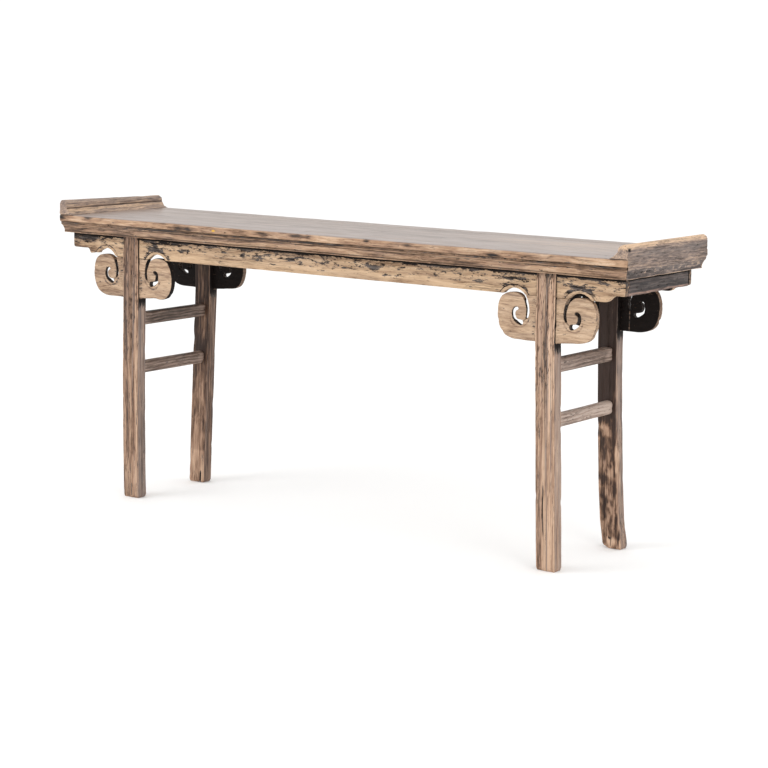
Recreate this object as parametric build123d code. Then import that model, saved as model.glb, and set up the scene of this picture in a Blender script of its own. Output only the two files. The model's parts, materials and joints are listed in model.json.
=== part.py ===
from build123d import *

import math
import os

# A long altar table in old softwood, with everted flanges on a mitred frame-and-panel top.
# Recessed legs clasp the aprons and the cloud-scroll spandrels in open slots, and a pair of
# stretchers joins the legs of each end.  Lengths are in millimetres.
# X runs along the table, Y from front (-) to back (+), Z up.  The origin is on the floor,
# under the middle of the top.

# ---- driving dimensions: the whole table ----
TABLE_LENGTH = 1984.0        # over the outer faces of the two flanges
TABLE_DEPTH = 447.0          # over the front and back edges of the top
TABLE_HEIGHT = 860.0         # floor to the flat of the top
TOP_THICKNESS = 56.0         # edge of the top, flat to underside
# Crest of each flange above the flat, at its front end and at its back end.
FLANGE_RISE = {"left": (45.0, 38.0), "right": (38.0, 38.0)}

# ---- top frame and its moulded edge ----
LONG_RAIL_WIDTH = 76.0
END_RAIL_WIDTH = 56.0
EDGE_UNDERCUT = 15.5         # the underside of a long edge lies this far behind its plain band
EDGE_ROUND = 5.0             # worn arris along the top of the band
BAND_HEIGHT = 21.5           # plain band at the top of the edge
GROOVE_HEIGHT = 6.0
GROOVE_DEPTH = 5.0
BEAD_HEIGHT = 4.5            # small bead under the groove
BEAD_BULGE = 1.8
COVE_START = 6.5             # set-back at the top of the sloping cove
COVE_SAG = 1.2               # hollow of the cove
FOOT_BEAD_HEIGHT = 5.0       # bead along the underside
FOOT_BEAD_SET_BACK = 14.0

# ---- everted flange ----
CREST_WIDTH = 16.0           # flat to rounded top of the flange, from its outer face
CREST_DROP = 17.0            # height of the rounding on the outer face
COVE_FACE_RUN = 15.0         # run of the crest's sloping inner face, over the cove
COVE_HOLLOW = 5.0            # hollow of the cove between crest and flat
CREST_BEAD = 8.0             # height of the bead under the crest, on the inner face

# ---- panel and battens ----
PANEL_THICKNESS = 18.0
TONGUE_THICKNESS = 7.0
TONGUE_LENGTH = 10.0
PANEL_MOVEMENT = 0.4         # room left for the panel at each edge
BATTENS = ("left_batten", "middle_batten", "right_batten")
BATTEN_SPACING = 480.0
BATTEN_WIDTH = 46.0
BATTEN_RECESS = 4.0          # battens end this far above the underside of the rails
RIDGE_HEIGHT = 6.0           # dovetailed ridge let into the panel
RIDGE_ROOT = 24.0
RIDGE_TOP = 30.0
BATTEN_TENON_WIDTH = 26.0
BATTEN_TENON_HEIGHT = 18.0
BATTEN_TENON_LENGTH = 12.0

# ---- mitre joints of the frame ----
MITRE_TENON_WIDTH = 28.0
MITRE_TENON_INSET = 5.0      # from the inner edge of the long rail
MITRE_TENON_THICKNESS = 16.0
MITRE_TENON_RAISE = 14.0     # above the underside
MITRE_TENON_STOP = 16.0      # wood left between the tenon's end and the flange's outer face
PEG_DIAMETER = 9.0
PEG_LENGTH = 42.0
PEG_STOP = 27.0              # peg's centre from the flange's outer face
PEG_CLEARANCE = 0.15

# ---- aprons ----
BOARD_THICKNESS = 18.0       # aprons and spandrels alike
APRON_SET_BACK = 41.0        # apron's face behind the edge of the top
APRON_END_SET_BACK = 25.0    # apron's end behind the flange's outer face
APRON_DEPTH = 63.5
END_APRON_DEPTH = 45.0
END_APRON_THICKNESS = 18.0
END_TONGUE_THICKNESS = 8.0
END_TONGUE_LENGTH = 6.0
APRON_TONGUE_HEIGHT = 6.0
APRON_TONGUE_MARGIN = 12.0   # tongue stops this far from each leg
APRON_TONGUE_END = 40.0      # tongue stops this far from the apron's end
APRON_CORNER = 8.0           # rounding of the apron's lower end corners
LOBE_WIDTH = {"left": 24.0, "right": 38.0}   # from the outer arch to the step
STEP_WIDTH = {"left": 20.0, "right": 36.0}   # run of the ogee step
ARCH_HALF_SPAN = 34.6        # of the arch over each scroll, along the apron's lower edge
INNER_ARCH_RISE = 16.4
OUTER_ARCH_RISE = {"left": 23.0, "right": 16.4}
SCRIBE_WIDTH = 3.0           # incised line that follows each arch
SCRIBE_DEPTH = 1.2
SCRIBE_MARGIN = 8.0          # from the arch to its line

# ---- spandrels with their cloud scrolls ----
SPANDREL_DEPTH = 121.5       # below the apron
SCROLL_RADIUS = 70.0
SCROLL_REACH = 84.0          # eye of a scroll from the leg's centre line
ARCH_SHIFT = 17.0            # middle of the arch over a scroll, outwards from its eye
# The scrolls are cut by hand: a spandrel's inner scroll is this much wider at its eye's level,
# and its right-hand scroll is this much shallower at the bottom.
INNER_SWELL = {"front_left": 6.5, "front_right": 0.0, "back_left": 0.0, "back_right": 0.0}
RIGHT_LIFT = {"front_left": 4.4, "front_right": 4.4, "back_left": 4.4, "back_right": 0.0}

# ---- legs ----
LEG_SET_IN = 261.5           # leg's centre line at the top, from the flange's outer face
LEG_WIDTH = 59.0
LEG_DEPTH = 36.5
LEG_PROUD = 4.5              # leg's face in front of the apron's
HOUSING_DEPTH = 4.0          # notch in each face of the boards, where the leg clasps them
LEG_BEAD_WIDTH = 6.0
REED_WIDTH = 5.0
REED_DEPTH = 1.2
HOLLOW_DEPTH = 2.5
LEG_TENON_WIDTH = 34.0
LEG_TENON_THICKNESS = 6.0
LEG_TENON_HEIGHT = 30.0
LEG_TENON_SHOULDER = 1.0
# How far each foot stands away from a plumb line, as X and Y.  The lean starts under the slot.
FOOT_SHIFT = {
    "front_left": (-8.7, 9.7),
    "front_right": (18.3, 5.2),
    "back_left": (-7.5, -18.7),
    "back_right": (23.8, 12.0),
}

# ---- stretchers ----
STRETCHER_HEIGHT = 39.0
STRETCHER_WIDTH = 30.0
STRETCHER_LEVELS = {"upper": 552.5, "lower": 403.0}
STRETCHER_ROUND = {"upper": 7.0, "lower": 13.0}
STRETCHER_TENON_WIDTH = 13.0
STRETCHER_TENON_HEIGHT = 27.0
STRETCHER_TENON_LENGTH = 22.0

JOINT_ROOM = 0.5             # room past the end of each tenon and tongue

# ---- places that follow from the sizes ----
half_length = TABLE_LENGTH / 2
half_depth = TABLE_DEPTH / 2
underside = TABLE_HEIGHT - TOP_THICKNESS
inner_end = half_length - END_RAIL_WIDTH
inner_edge = half_depth - LONG_RAIL_WIDTH
panel_underside = TABLE_HEIGHT - PANEL_THICKNESS
tongue_bottom = panel_underside + (PANEL_THICKNESS - TONGUE_THICKNESS) / 2
tongue_top = tongue_bottom + TONGUE_THICKNESS
apron_end = half_length - APRON_END_SET_BACK
apron_bottom = underside - APRON_DEPTH
board_face = half_depth - APRON_SET_BACK
board_back = board_face - BOARD_THICKNESS
web_face = board_face - HOUSING_DEPTH
web_back = board_back + HOUSING_DEPTH
spandrel_bottom = apron_bottom - SPANDREL_DEPTH
leg_line = half_length - LEG_SET_IN
leg_face = board_face + LEG_PROUD
leg_back = leg_face - LEG_DEPTH
eye_height = spandrel_bottom + SCROLL_RADIUS

# ---- the scroll: ratios of SCROLL_RADIUS, each at an angle round the eye ----
OUTER_CURL_RATIOS = ((1.0, -90), (1.03, -64), (1.055, -50), (1.005, -24), (0.98, 0), (1.0, 22),
                     (1.01, 43), (0.96, 53), (0.885, 65), (0.76, 90), (0.555, 116),
                     (0.44, 133), (0.364, 155), (0.318, 183), (0.32, 207))
INNER_SIDE_RATIOS = ((0.385, 207), (0.41, 194), (0.43, 180), (0.455, 164), (0.515, 145),
                     (0.62, 128))
EYE_OUTER_RATIOS = ((0.39, 243), (0.44, 255), (0.4, 274), (0.355, 300), (0.33, 330),
                    (0.314, 360), (0.32, 390), (0.3, 416), (0.24, 436))
EYE_INNER_RATIOS = ((0.16, 440), (0.17, 415), (0.185, 383), (0.186, 337), (0.22, 297),
                    (0.235, 259), (0.285, 238))


def block(x, y, z):
    """A rectangular block between two x, two y and two z values, given in either order."""
    size = [abs(b - a) for a, b in (x, y, z)]
    middle = [(a + b) / 2 for a, b in (x, y, z)]
    return Pos(*middle) * Box(*size)


def mirrored(shape, side_x=1, side_y=1):
    """The shape on the side that the two signs give: it is drawn for +X and +Y."""
    if side_x < 0:
        shape = mirror(shape, about=Plane.YZ)
    if side_y < 0:
        shape = mirror(shape, about=Plane.XZ)
    return shape


def one_solid(shape):
    """The single solid that a chain of cuts and joins leaves."""
    return shape.solids().sort_by(SortBy.VOLUME)[-1]


# ---------------------------------------------------------------- the top

def moulded_edge(half, narrow):
    """The moulding from the underside up to the plain band; half is the edge's reach.

    The set-backs are narrowed on the end rails, so that both mouldings meet at the mitre.
    """
    def at(set_back, drop):
        return (half - narrow * set_back, TABLE_HEIGHT - drop)

    groove_foot = BAND_HEIGHT + GROOVE_HEIGHT
    bead_foot = groove_foot + BEAD_HEIGHT
    foot_bead = TOP_THICKNESS - FOOT_BEAD_HEIGHT
    Line((0, underside), at(EDGE_UNDERCUT, TOP_THICKNESS))
    ThreePointArc(at(EDGE_UNDERCUT, TOP_THICKNESS),
                  at(FOOT_BEAD_SET_BACK - BEAD_BULGE, TOP_THICKNESS - FOOT_BEAD_HEIGHT / 2),
                  at(FOOT_BEAD_SET_BACK, foot_bead))
    ThreePointArc(at(FOOT_BEAD_SET_BACK, foot_bead),
                  at((FOOT_BEAD_SET_BACK + COVE_START) / 2 + COVE_SAG, (foot_bead + bead_foot) / 2),
                  at(COVE_START, bead_foot))
    ThreePointArc(at(COVE_START, bead_foot),
                  at(GROOVE_DEPTH - BEAD_BULGE, bead_foot - BEAD_HEIGHT / 2),
                  at(GROOVE_DEPTH, groove_foot))
    Polyline(at(GROOVE_DEPTH, groove_foot), at(GROOVE_DEPTH, BAND_HEIGHT), at(0, BAND_HEIGHT))


def across_section():
    """Section of the top from front edge to back edge, without the flanges."""
    with BuildSketch(Plane.YZ) as section:
        with BuildLine():
            moulded_edge(half_depth, 1)
            Line((half_depth, TABLE_HEIGHT - BAND_HEIGHT), (half_depth, TABLE_HEIGHT - EDGE_ROUND))
            RadiusArc((half_depth, TABLE_HEIGHT - EDGE_ROUND),
                      (half_depth - EDGE_ROUND, TABLE_HEIGHT), -EDGE_ROUND)
            Line((half_depth - EDGE_ROUND, TABLE_HEIGHT), (0, TABLE_HEIGHT))
            mirror(about=Plane.YZ)
        make_face()
    return section.sketch


def along_section():
    """Section of the top from its middle to its right end, without the flange."""
    with BuildSketch(Plane.XZ) as section:
        with BuildLine():
            moulded_edge(half_length, END_RAIL_WIDTH / LONG_RAIL_WIDTH)
            Polyline((half_length, TABLE_HEIGHT - BAND_HEIGHT), (half_length, TABLE_HEIGHT),
                     (0, TABLE_HEIGHT), (0, underside))
        make_face()
    return section.sketch


def flange_section(rise):
    """Section of the flange at +X: plain outside, rounded crest, bead and cove inside."""
    crest = TABLE_HEIGHT + rise
    shoulder = half_length - CREST_WIDTH
    bead_foot = (shoulder - COVE_FACE_RUN, crest - CREST_BEAD)
    cove_foot = (inner_end, TABLE_HEIGHT)
    cove_middle = ((bead_foot[0] + cove_foot[0]) / 2 + COVE_HOLLOW,
                   (bead_foot[1] + cove_foot[1]) / 2 - COVE_HOLLOW)
    with BuildSketch(Plane.XZ) as section:
        with BuildLine():
            Polyline(cove_foot, (half_length, TABLE_HEIGHT), (half_length, crest - CREST_DROP))
            EllipticalCenterArc((shoulder, crest - CREST_DROP), CREST_WIDTH, CREST_DROP,
                                start_angle=0, arc_size=90)
            Line((shoulder, crest), bead_foot)
            ThreePointArc(bead_foot, cove_middle, cove_foot)
        make_face()
    return section.sketch


def flange(end):
    """Everted flange at +X, from the front edge of the top to its back edge."""
    front, back = (Pos(0, y, 0) * flange_section(rise)
                   for y, rise in zip((-half_depth, half_depth), FLANGE_RISE[end]))
    return loft([front.face(), back.face()], ruled=True)


def long_rail_region():
    """Everything that the front rail holds: a trapezium in plan, cut at the mitres."""
    plan = Plane.XY.offset(underside) * make_face(Polyline(
        (-half_length, -half_depth), (half_length, -half_depth),
        (inner_end, -inner_edge), (-inner_end, -inner_edge), close=True).edges())
    return extrude(plan, amount=TOP_THICKNESS)


def mitre_tenon(end_room=0.0):
    """Tenon of the long rail in the end rail, at +X and +Y.  The mitre's shoulder is left on."""
    near = inner_edge + MITRE_TENON_INSET
    bottom = underside + MITRE_TENON_RAISE
    return block((inner_end - END_RAIL_WIDTH, half_length - MITRE_TENON_STOP + end_room),
                 (near, near + MITRE_TENON_WIDTH),
                 (bottom, bottom + MITRE_TENON_THICKNESS))


def mitre_peg(clearance=0.0):
    """Peg driven up through the end rail and the tenon, at +X and +Y."""
    along = inner_edge + MITRE_TENON_INSET + MITRE_TENON_WIDTH / 2
    length = PEG_LENGTH + (JOINT_ROOM if clearance else 0)
    return Pos(half_length - PEG_STOP, along, underside + length / 2) * Cylinder(
        PEG_DIAMETER / 2 + clearance, length)


def panel_groove():
    """Groove round the inside of the frame, for the panel's tongue."""
    reach_x = inner_end + TONGUE_LENGTH + JOINT_ROOM
    reach_y = inner_edge + TONGUE_LENGTH + JOINT_ROOM
    return block((-reach_x, reach_x), (-reach_y, reach_y), (tongue_bottom, tongue_top))


def batten_places():
    first = -BATTEN_SPACING * (len(BATTENS) - 1) / 2
    return [first + BATTEN_SPACING * i for i in range(len(BATTENS))]


def batten_tenon(x, end_room=0.0):
    """Tenon along a batten's whole length, which shows at both of its ends."""
    reach = inner_edge + BATTEN_TENON_LENGTH + end_room
    bottom = underside + BATTEN_RECESS + (panel_underside - underside - BATTEN_RECESS
                                          - BATTEN_TENON_HEIGHT) / 2
    return block((x - BATTEN_TENON_WIDTH / 2, x + BATTEN_TENON_WIDTH / 2), (-reach, reach),
                 (bottom, bottom + BATTEN_TENON_HEIGHT))


def batten_ridge(x):
    """Dovetailed ridge on a batten, from the front edge of the panel to its back edge."""
    with BuildSketch(Plane.XZ) as section:
        with Locations((x, panel_underside + RIDGE_HEIGHT / 2)):
            Trapezoid(RIDGE_TOP, RIDGE_HEIGHT,
                      math.degrees(math.atan2(RIDGE_HEIGHT, (RIDGE_TOP - RIDGE_ROOT) / 2)),
                      rotation=180)
    return extrude(section.sketch, amount=inner_edge, both=True)


def batten(x):
    body = block((x - BATTEN_WIDTH / 2, x + BATTEN_WIDTH / 2), (-inner_edge, inner_edge),
                 (underside + BATTEN_RECESS, panel_underside))
    return one_solid(body + batten_tenon(x) + batten_ridge(x))


def top_panel():
    reach_x = inner_end - PANEL_MOVEMENT
    reach_y = inner_edge - PANEL_MOVEMENT
    panel = block((-reach_x, reach_x), (-reach_y, reach_y), (panel_underside, TABLE_HEIGHT))
    panel += block((-inner_end - TONGUE_LENGTH, inner_end + TONGUE_LENGTH),
                   (-inner_edge - TONGUE_LENGTH, inner_edge + TONGUE_LENGTH),
                   (tongue_bottom, tongue_top))
    for x in batten_places():
        # The ridge slides in from the front, so its way runs through both tongues.
        way = batten_ridge(x)
        way += Pos(0, TONGUE_LENGTH, 0) * way + Pos(0, -TONGUE_LENGTH, 0) * way
        panel -= way
    return one_solid(panel)


def leg_tenons(end_room=0.0):
    """The twin tenons on top of a leg, either side of the boards, at +X and +Y."""
    tenons = []
    for near, way in ((web_face, 1), (web_back, -1)):
        start = near + way * LEG_TENON_SHOULDER
        tenons.append(block((leg_line - LEG_TENON_WIDTH / 2, leg_line + LEG_TENON_WIDTH / 2),
                            (start, start + way * LEG_TENON_THICKNESS),
                            (underside, underside + LEG_TENON_HEIGHT + end_room)))
    return tenons


def apron_tongues(end_room=0.0):
    """Tongue on the top edge of the back apron, broken where the legs stand."""
    margin = LEG_WIDTH / 2 + APRON_TONGUE_MARGIN - end_room
    stretches = [(-leg_line + margin, leg_line - margin)]
    for side in (-1, 1):
        stretches.append((side * (leg_line + margin),
                          side * (apron_end - APRON_TONGUE_END + end_room)))
    return [block(x, (web_back, web_face), (underside, underside + APRON_TONGUE_HEIGHT + end_room))
            for x in stretches]


def top_members():
    """The four members of the frame, moulded along their length and cut at the mitres."""
    groove = panel_groove()
    front_region = long_rail_region()
    front = extrude(across_section(), amount=half_length, both=True) & front_region
    front -= groove
    for side in (-1, 1):
        front += mirrored(mitre_tenon(), side, -1) - front_region
        front -= mirrored(mitre_peg(PEG_CLEARANCE), side, -1)
        for tenon in leg_tenons(JOINT_ROOM):
            front -= mirrored(tenon, side, -1)
    for x in batten_places():
        front -= batten_tenon(x, JOINT_ROOM)
    for tongue in apron_tongues(JOINT_ROOM):
        front -= mirrored(tongue, 1, -1)
    front = one_solid(front)

    end = (extrude(along_section(), amount=half_depth, both=True)
           & block((inner_end, half_length), (-half_depth, half_depth), (underside, TABLE_HEIGHT)))
    for side in (-1, 1):
        end -= mirrored(front_region, 1, -side)
        end -= mirrored(mitre_tenon(JOINT_ROOM), 1, side)
        end -= mirrored(mitre_peg(PEG_CLEARANCE), 1, side)
    end -= groove
    return {
        "front_rail": front,
        "back_rail": mirrored(front, 1, -1),
        "left_end_rail": mirrored(one_solid(end + flange("left")), -1, 1),
        "right_end_rail": one_solid(end + flange("right")),
    }


# ---------------------------------------------------------------- aprons and spandrels

def scroll_point(ratio, angle, swell=0.0, lift=0.0):
    """A point of the outer scroll at +X, from its radius ratio and its angle round the eye.

    The swell is fullest a little below the eye, and dies away at the bottom and at the top.
    The lift is fullest at the bottom.
    """
    across, up = math.cos(math.radians(angle)), math.sin(math.radians(angle))
    radius = ratio * SCROLL_RADIUS + swell * max(0, across) * (1 - up) - lift * max(0, -up) ** 4
    return SCROLL_REACH + radius * across, eye_height + radius * up


def arch_middle(way):
    """X of the arch over a scroll at +X; way is 1 for the outer scroll, -1 for the inner."""
    return leg_line + way * (SCROLL_REACH + ARCH_SHIFT)


def arch(way, rise):
    """Both feet of an arch, with its top between them."""
    middle = arch_middle(way)
    return ((middle - ARCH_HALF_SPAN, apron_bottom), (middle, apron_bottom + rise),
            (middle + ARCH_HALF_SPAN, apron_bottom))


def apron_outline():
    """Lower edge of a long apron: arches over the scrolls, a lobe and a step at each end."""
    end_bottom = underside - END_APRON_DEPTH
    corner_middle = APRON_CORNER * (1 - math.sqrt(0.5))
    with BuildSketch(Plane.XZ) as outline:
        with BuildLine():
            for end, side in (("left", -1), ("right", 1)):
                def at(x, z):
                    return (side * x, z)

                inner_arch = [at(*point) for point in arch(-1, INNER_ARCH_RISE)]
                outer_arch = [at(*point) for point in arch(1, OUTER_ARCH_RISE[end])]
                lobe_end = arch_middle(1) + ARCH_HALF_SPAN + LOBE_WIDTH[end]
                step_end = lobe_end + STEP_WIDTH[end]
                Line(at(0, apron_bottom), inner_arch[0])
                ThreePointArc(*inner_arch)
                Line(inner_arch[2], outer_arch[0])
                ThreePointArc(*outer_arch)
                Line(outer_arch[2], at(lobe_end, apron_bottom))
                Spline(at(lobe_end, apron_bottom), at(step_end, end_bottom),
                       tangents=((side, 0), (side, 0)))
                Line(at(step_end, end_bottom), at(apron_end - APRON_CORNER, end_bottom))
                ThreePointArc(at(apron_end - APRON_CORNER, end_bottom),
                              at(apron_end - corner_middle, end_bottom + corner_middle),
                              at(apron_end, end_bottom + APRON_CORNER))
                Polyline(at(apron_end, end_bottom + APRON_CORNER), at(apron_end, underside),
                         at(0, underside))
        make_face()
    return outline.sketch


def scribed_lines(end):
    """The incised line round each arch, as bands a little larger than the arch itself."""
    bands = []
    for way, rise in ((-1, INNER_ARCH_RISE), (1, OUTER_ARCH_RISE[end])):
        arch_radius = (ARCH_HALF_SPAN ** 2 + rise ** 2) / (2 * rise)
        centre_z = apron_bottom + rise - arch_radius
        line_radius = arch_radius + SCRIBE_MARGIN
        disc = Circle(line_radius + SCRIBE_WIDTH) - Circle(line_radius)
        bands.append(Pos(arch_middle(way), 0, centre_z) * (Plane.XZ * disc))
    return bands


def housings(bottom, top, side_x):
    """Notches across both faces of a back board, where the leg clasps it."""
    across = (side_x * leg_line - LEG_WIDTH / 2, side_x * leg_line + LEG_WIDTH / 2)
    return (block(across, (web_face, board_face), (bottom, top)),
            block(across, (board_back, web_back), (bottom, top)))


def board(sketch):
    """A board of the common thickness, cut from an outline, on the back of the table."""
    return Pos(0, board_face, 0) * extrude(sketch, amount=BOARD_THICKNESS)


def end_apron(end_room=0.0):
    """Board between the two long aprons, flush with their ends, at +X."""
    bottom = underside - END_APRON_DEPTH
    tongue_x = apron_end - (END_APRON_THICKNESS + END_TONGUE_THICKNESS) / 2
    reach = board_back + END_TONGUE_LENGTH + end_room
    body = block((apron_end - END_APRON_THICKNESS, apron_end), (-board_back, board_back),
                 (bottom, underside))
    return body + block((tongue_x, tongue_x + END_TONGUE_THICKNESS), (-reach, reach),
                        (bottom, underside))


def back_apron():
    apron = board(apron_outline())
    for end, side in (("left", -1), ("right", 1)):
        for notch in housings(apron_bottom, underside, side):
            apron -= notch
        scribe = extrude(Sketch() + scribed_lines(end), amount=SCRIBE_DEPTH)
        apron -= mirrored(Pos(0, board_face, 0) * scribe, side, 1)
        apron -= mirrored(end_apron(JOINT_ROOM), side, 1)
    for tongue in apron_tongues():
        apron += tongue
    return one_solid(apron)


def spandrel(name):
    """Board with a cloud scroll each side of the leg, under the apron."""
    slot_top = arch_middle(1) - ARCH_HALF_SPAN - leg_line
    right = sides(name)[0]
    with BuildSketch(Plane.XZ) as outline:
        with BuildLine():
            for way, swell in ((1, 0.0), (-1, INNER_SWELL[name])):
                def at(x, z):
                    return (way * x, z)

                lift = RIGHT_LIFT[name] if way == right else 0.0
                curl = [at(*scroll_point(*p, swell, lift)) for p in OUTER_CURL_RATIOS]
                slot = [at(*scroll_point(*p)) for p in INNER_SIDE_RATIOS]
                slot.append(at(slot_top, apron_bottom))
                Polyline((0, spandrel_bottom), at(LEG_WIDTH / 2, spandrel_bottom), curl[0])
                Spline(*curl, tangents=(at(1, 0), at(0.4, -1)))
                Line(curl[-1], slot[0])
                Spline(*slot)
                Line(slot[-1], (0, apron_bottom))
        make_face()
        with BuildSketch(mode=Mode.PRIVATE) as eye:
            with BuildLine():
                Spline(*[scroll_point(*p) for p in EYE_OUTER_RATIOS])
                Line(scroll_point(*EYE_OUTER_RATIOS[-1]), scroll_point(*EYE_INNER_RATIOS[0]))
                Spline(*[scroll_point(*p) for p in EYE_INNER_RATIOS])
                Line(scroll_point(*EYE_INNER_RATIOS[-1]), scroll_point(*EYE_OUTER_RATIOS[0]))
            make_face()
        add(eye.sketch, mode=Mode.SUBTRACT)
        add(mirror(eye.sketch, about=Plane.YZ), mode=Mode.SUBTRACT)
    piece = Pos(leg_line, 0, 0) * board(outline.sketch)
    for notch in housings(spandrel_bottom, apron_bottom, 1):
        piece -= notch
    return mirrored(one_solid(piece), *sides(name))


# ---------------------------------------------------------------- legs and stretchers

def leg_section(x, y, side_y):
    """Section of a leg in plan, reeded on its outer face; x and y are the face's middle."""
    half = LEG_WIDTH / 2
    hollow_end = half - LEG_BEAD_WIDTH

    def at(across, depth):
        return (x + across, y - side_y * depth)

    with BuildSketch() as section:
        with BuildLine():
            for side in (-1, 1):
                ThreePointArc(at(side * half, REED_DEPTH), at(side * (half + hollow_end) / 2, 0),
                              at(side * hollow_end, REED_DEPTH))
                ThreePointArc(at(side * hollow_end, REED_DEPTH),
                              at(side * (hollow_end + REED_WIDTH) / 2, HOLLOW_DEPTH),
                              at(side * REED_WIDTH, REED_DEPTH))
                ThreePointArc(at(side * REED_WIDTH, REED_DEPTH), at(side * REED_WIDTH / 2, 0),
                              at(0, REED_DEPTH))
            Polyline(at(-half, REED_DEPTH), at(-half, LEG_DEPTH), at(half, LEG_DEPTH),
                     at(half, REED_DEPTH))
        make_face()
    return section.sketch


def leg_stick(name):
    """A leg without its joints: plumb where it is slotted, and leaning below."""
    side_x, side_y = sides(name)
    shift = Vector(*FOOT_SHIFT[name])
    x, y = side_x * leg_line, side_y * leg_face
    rise = Vector(-shift.X, -shift.Y, spandrel_bottom)
    lower = extrude(leg_section(x + shift.X, y + shift.Y, side_y), amount=rise.length, dir=rise)
    upper = extrude(Pos(0, 0, spandrel_bottom) * leg_section(x, y, side_y),
                    amount=underside - spandrel_bottom)
    return one_solid(lower + upper)


def sides(name):
    """Signs of X and Y for a corner of the table."""
    return (1 if name.endswith("right") else -1, 1 if name.startswith("back") else -1)


def lean_at(name, height):
    """How far a leg has moved from its plumb line at a height, as X and Y."""
    share = 1 - height / spandrel_bottom
    return FOOT_SHIFT[name][0] * share, FOOT_SHIFT[name][1] * share


def stretcher_line(end, height):
    """X of a stretcher: halfway between the two legs that it joins."""
    leans = [lean_at(f"{row}_{end}", height)[0] for row in ("front", "back")]
    return (1 if end == "right" else -1) * leg_line + sum(leans) / 2


def stretcher_tenon(end, height, end_room=0.0):
    """Tenon along a stretcher's whole length, which shows at both of its ends."""
    x = stretcher_line(end, height)
    reach = leg_back + STRETCHER_TENON_LENGTH + end_room
    front = -reach + lean_at(f"front_{end}", height)[1]
    back = reach + lean_at(f"back_{end}", height)[1]
    return block((x - STRETCHER_TENON_WIDTH / 2, x + STRETCHER_TENON_WIDTH / 2), (front, back),
                 (height - STRETCHER_TENON_HEIGHT / 2, height + STRETCHER_TENON_HEIGHT / 2))


def leg(name, stick):
    side_x, side_y = sides(name)
    web = (side_y * web_back, side_y * web_face)
    across = (side_x * leg_line - LEG_WIDTH, side_x * leg_line + LEG_WIDTH)
    piece = stick - block(across, web, (spandrel_bottom, underside))
    for tenon in leg_tenons():
        piece += mirrored(tenon, side_x, side_y)
    for height in STRETCHER_LEVELS.values():
        piece -= stretcher_tenon(name.split("_")[1], height, JOINT_ROOM)
    return one_solid(piece)


def stretcher(end, level, sticks):
    """Bar between two legs, with its shoulders scribed to their leaning faces."""
    height = STRETCHER_LEVELS[level]
    section = RectangleRounded(STRETCHER_WIDTH, STRETCHER_HEIGHT, STRETCHER_ROUND[level])
    bar = extrude(Pos(stretcher_line(end, height), 0, height) * (Plane.XZ * section),
                  amount=leg_face, both=True)
    for row in ("front", "back"):
        bar -= sticks[f"{row}_{end}"]
    middle = [part for part in bar.solids() if abs(part.center().Y) < leg_back / 2]
    return one_solid(middle[0] + stretcher_tenon(end, height))


# ---------------------------------------------------------------- the whole table

parts = top_members()
parts["top_panel"] = top_panel()
for batten_name, place in zip(BATTENS, batten_places()):
    parts[batten_name] = batten(place)

parts["mitre_pegs"] = Compound(children=[mirrored(mitre_peg(), side_x, side_y)
                                         for side_x in (-1, 1) for side_y in (-1, 1)])

parts["back_apron"] = back_apron()
parts["front_apron"] = mirrored(parts["back_apron"], 1, -1)
parts["right_end_apron"] = one_solid(end_apron())
parts["left_end_apron"] = mirrored(parts["right_end_apron"], -1, 1)

leg_sticks = {name: leg_stick(name) for name in FOOT_SHIFT}
for name, plain_leg in leg_sticks.items():
    parts[f"{name}_spandrel"] = spandrel(name)
    parts[f"{name}_leg"] = leg(name, plain_leg)
for end_name in ("left", "right"):
    for level_name in STRETCHER_LEVELS:
        parts[f"{end_name}_{level_name}_stretcher"] = stretcher(end_name, level_name, leg_sticks)

os.makedirs("parts", exist_ok=True)
for node, shape in parts.items():
    export_step(shape, f"parts/{node}.step")
    print(node, round(shape.volume), "mm3")
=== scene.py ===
import json
import math

import bpy
import numpy as np
from mathutils import Matrix, Vector


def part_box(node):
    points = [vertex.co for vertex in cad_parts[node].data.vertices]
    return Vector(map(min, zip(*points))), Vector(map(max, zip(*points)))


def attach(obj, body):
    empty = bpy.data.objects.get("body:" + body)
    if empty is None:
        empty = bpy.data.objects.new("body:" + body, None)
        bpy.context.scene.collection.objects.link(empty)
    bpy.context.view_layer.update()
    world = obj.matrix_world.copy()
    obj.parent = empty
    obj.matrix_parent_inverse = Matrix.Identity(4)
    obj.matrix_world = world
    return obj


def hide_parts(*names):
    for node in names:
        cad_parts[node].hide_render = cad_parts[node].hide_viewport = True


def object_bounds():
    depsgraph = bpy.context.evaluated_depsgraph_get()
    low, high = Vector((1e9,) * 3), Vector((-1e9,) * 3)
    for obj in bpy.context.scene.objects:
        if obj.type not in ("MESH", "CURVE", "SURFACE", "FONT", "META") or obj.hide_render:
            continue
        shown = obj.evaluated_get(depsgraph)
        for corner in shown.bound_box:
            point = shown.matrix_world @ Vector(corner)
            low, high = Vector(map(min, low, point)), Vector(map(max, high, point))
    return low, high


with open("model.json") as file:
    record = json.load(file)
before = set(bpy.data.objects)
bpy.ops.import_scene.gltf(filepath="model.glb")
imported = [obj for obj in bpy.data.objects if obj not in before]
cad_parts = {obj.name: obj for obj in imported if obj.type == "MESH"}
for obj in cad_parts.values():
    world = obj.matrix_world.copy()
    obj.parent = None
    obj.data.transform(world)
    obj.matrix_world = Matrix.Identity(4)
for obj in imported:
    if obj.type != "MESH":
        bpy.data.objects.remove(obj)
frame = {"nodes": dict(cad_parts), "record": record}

cad_low, cad_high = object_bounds()
MM = 0.001

# -------------------------------------------- camera
# A long lens, a little above the top, in front of the table and to its right.  It looks
# slightly down on the table.
CAMERA_PLACE = (3.6515, -5.06035, 1.40376)
CAMERA_YAW, CAMERA_PITCH, CAMERA_ROLL = (math.radians(a) for a in (35.1993, -9.0452, 0.9124))
CAMERA_LENS = 101.41

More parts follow.
